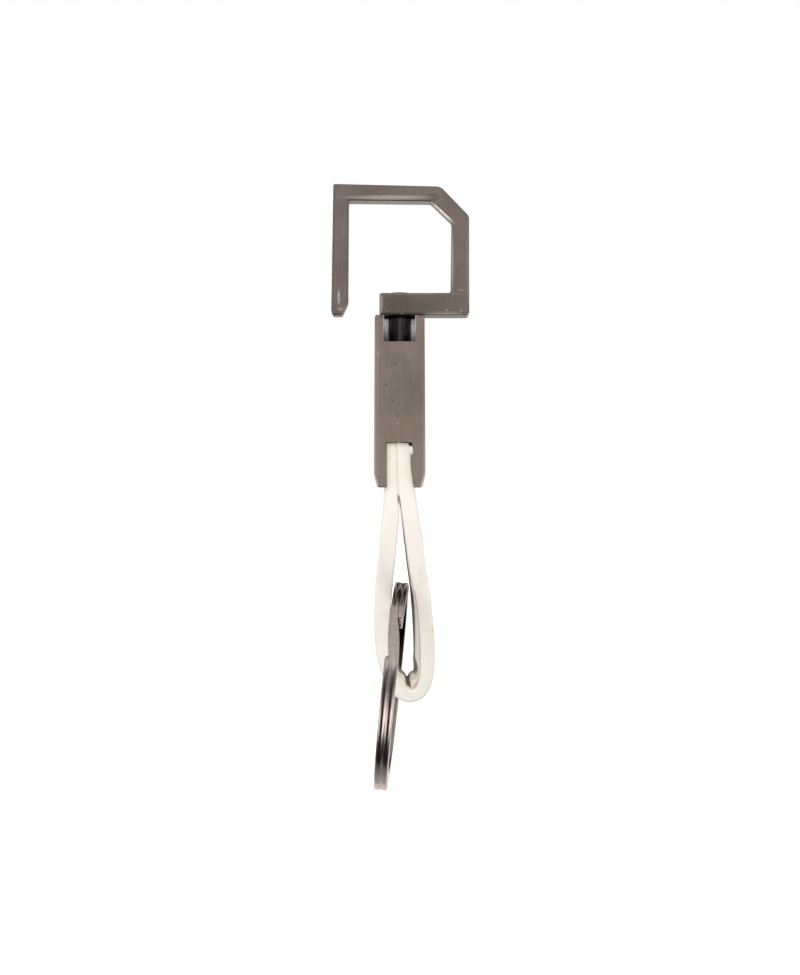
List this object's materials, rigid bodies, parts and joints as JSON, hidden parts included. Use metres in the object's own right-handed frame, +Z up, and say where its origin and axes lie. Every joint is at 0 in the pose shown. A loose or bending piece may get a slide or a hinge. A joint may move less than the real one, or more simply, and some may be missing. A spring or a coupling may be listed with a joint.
{
  "type": "key holder",
  "caption": "key holder with an open hook of flat bar, a swivel block, a folded leather loop and a split ring, hung from a belt loop or bag to carry keys",
  "frame": {"origin": "on the underside of the hook's top bar, where it hangs, on the swivel's axis", "axes": "+Z up along the hanging length, front facing -Y, the hook's mouth on the -X side"},
  "size_m": [0.0206, 0.0299, 0.089],
  "materials": {
    "hook_metal": "satin warm gunmetal plating",
    "dark_post": "polished dark gunmetal plating",
    "black_washer": "matt black",
    "block_metal": "satin warm gunmetal plating",
    "pin_steel": "plain steel",
    "cream_leather": "smooth cream leather with turned edges",
    "lining_leather": "soft pale lining",
    "ring_metal": "polished dark nickel"
  },
  "bodies": {
    "hook_body": {"hook": "hook_metal"},
    "block_body": {"block": "block_metal", "swivel_post": "dark_post", "swivel_washer": "black_washer", "strap_pin": "pin_steel"},
    "strap_body": {"strap_leather": "cream_leather", "strap_lining": "lining_leather"},
    "ring_body": {"split_ring": "ring_metal"}
  },
  "joints": [
    {"name": "block_swivel", "type": "hinge", "parent": "hook_body", "child": "block_body", "pos_m": [0, 0, -0.0173], "axis": [0, 0, 1], "continuous": true},
    {"name": "strap_swing", "type": "hinge", "parent": "block_body", "child": "strap_body", "pos_m": [0, 0, -0.03943], "axis": [1, 0, 0], "range_deg": [-45, 45]},
    {"name": "ring_swing", "type": "hinge", "parent": "strap_body", "child": "ring_body", "pos_m": [-0.00113, 0, -0.07062], "axis": [0.9947, -0.0208, -0.101], "range_deg": [-7, 173]}
  ]
}
